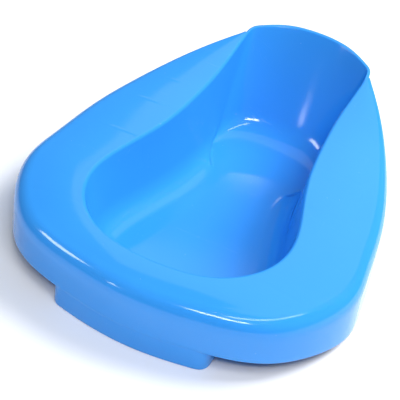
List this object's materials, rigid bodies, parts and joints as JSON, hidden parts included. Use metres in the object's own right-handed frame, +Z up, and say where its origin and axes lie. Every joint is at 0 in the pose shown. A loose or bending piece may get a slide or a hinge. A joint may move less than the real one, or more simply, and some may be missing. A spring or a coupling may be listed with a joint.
{
  "type": "bedpan",
  "caption": "One-piece moulded bedpan with a broad crowned seat, deep skirt, stand under the seat end and a high pouring end with a rolled lip.",
  "frame": {"origin": "centre of the bounding box at the ground, under the bowl", "axes": "+Z up, +Y from the seat end towards the pouring end, +X across"},
  "size_m": [0.3, 0.36, 0.0971],
  "materials": {
    "blue_polypropylene": "glossy moulded"
  },
  "bodies": {
    "root": {"bowl_floor": "blue_polypropylene", "bowl_corner": "blue_polypropylene", "bowl_wall": "blue_polypropylene", "splash_wall": "blue_polypropylene", "pour_lip": "blue_polypropylene", "seat_rim": "blue_polypropylene", "skirt_left": "blue_polypropylene", "skirt_front": "blue_polypropylene", "skirt_right": "blue_polypropylene", "skirt_edge_left": "blue_polypropylene", "skirt_edge_front": "blue_polypropylene", "skirt_edge_right": "blue_polypropylene", "stand_front": "blue_polypropylene", "stand_side_right": "blue_polypropylene", "stand_side_left": "blue_polypropylene", "rib_right_1": "blue_polypropylene", "rib_left_1": "blue_polypropylene", "rib_right_2": "blue_polypropylene", "rib_left_2": "blue_polypropylene", "rib_right_3": "blue_polypropylene", "rib_left_3": "blue_polypropylene", "rib_right_4": "blue_polypropylene", "rib_left_4": "blue_polypropylene"}
  },
  "joints": []
}
